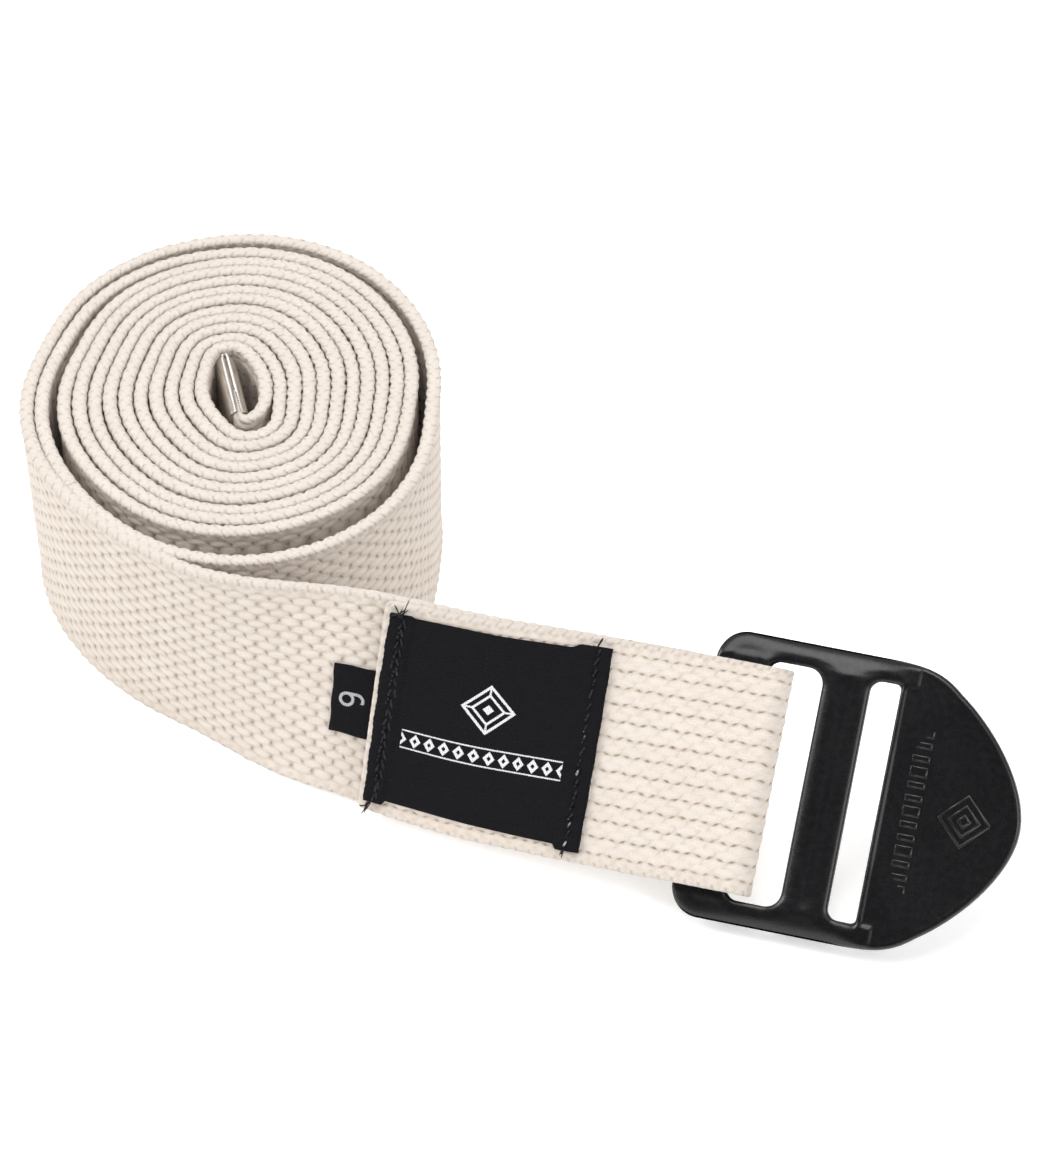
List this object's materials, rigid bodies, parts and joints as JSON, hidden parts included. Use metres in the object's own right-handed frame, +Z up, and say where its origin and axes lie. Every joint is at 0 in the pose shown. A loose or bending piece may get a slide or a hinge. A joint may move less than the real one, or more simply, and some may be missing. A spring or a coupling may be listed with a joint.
{
  "type": "stretching strap",
  "caption": "Cotton webbing stretching strap rolled up on edge, its end looped through a flat plastic cinch buckle with a rounded pull nose.",
  "frame": {"origin": "middle of the strap's bounding box, on the surface that the roll stands on", "axes": "+X along the tail from the roll towards the buckle, +Z up, +Y towards the back of the roll"},
  "size_m": [0.1836, 0.106, 0.0382],
  "materials": {
    "cotton_webbing": "natural undyed cotton, coarse basket weave",
    "woven_black": "fine black satin-woven label tape",
    "black_thread": "black polyester sewing thread",
    "black_plastic": "satin black moulding",
    "clip_steel": "plain folded steel strip"
  },
  "bodies": {
    "coil": {"webbing_coil": "cotton_webbing", "end_clip": "clip_steel"},
    "tail": {"webbing_tail": "cotton_webbing", "webbing_fold_back": "cotton_webbing", "webbing_loop": "cotton_webbing", "woven_label": "woven_black", "size_tab": "woven_black", "seam_left_top_thread": "black_thread", "seam_left_under_thread": "black_thread", "seam_right_top_thread": "black_thread", "seam_right_under_thread": "black_thread"},
    "buckle": {"cinch_buckle": "black_plastic"}
  },
  "joints": [
    {"name": "tail_flex", "type": "hinge", "parent": "coil", "child": "tail", "pos_m": [-0.04857, -0.02959, 0.01907], "axis": [0, 0, 1], "range_deg": [-40, 8]},
    {"name": "buckle_swing", "type": "hinge", "parent": "tail", "child": "buckle", "pos_m": [0.04133, -0.03459, 0.0199], "axis": [0, 0.7373, 0.6756], "range_deg": [-45, 15], "deforming": ["webbing_loop"]}
  ]
}
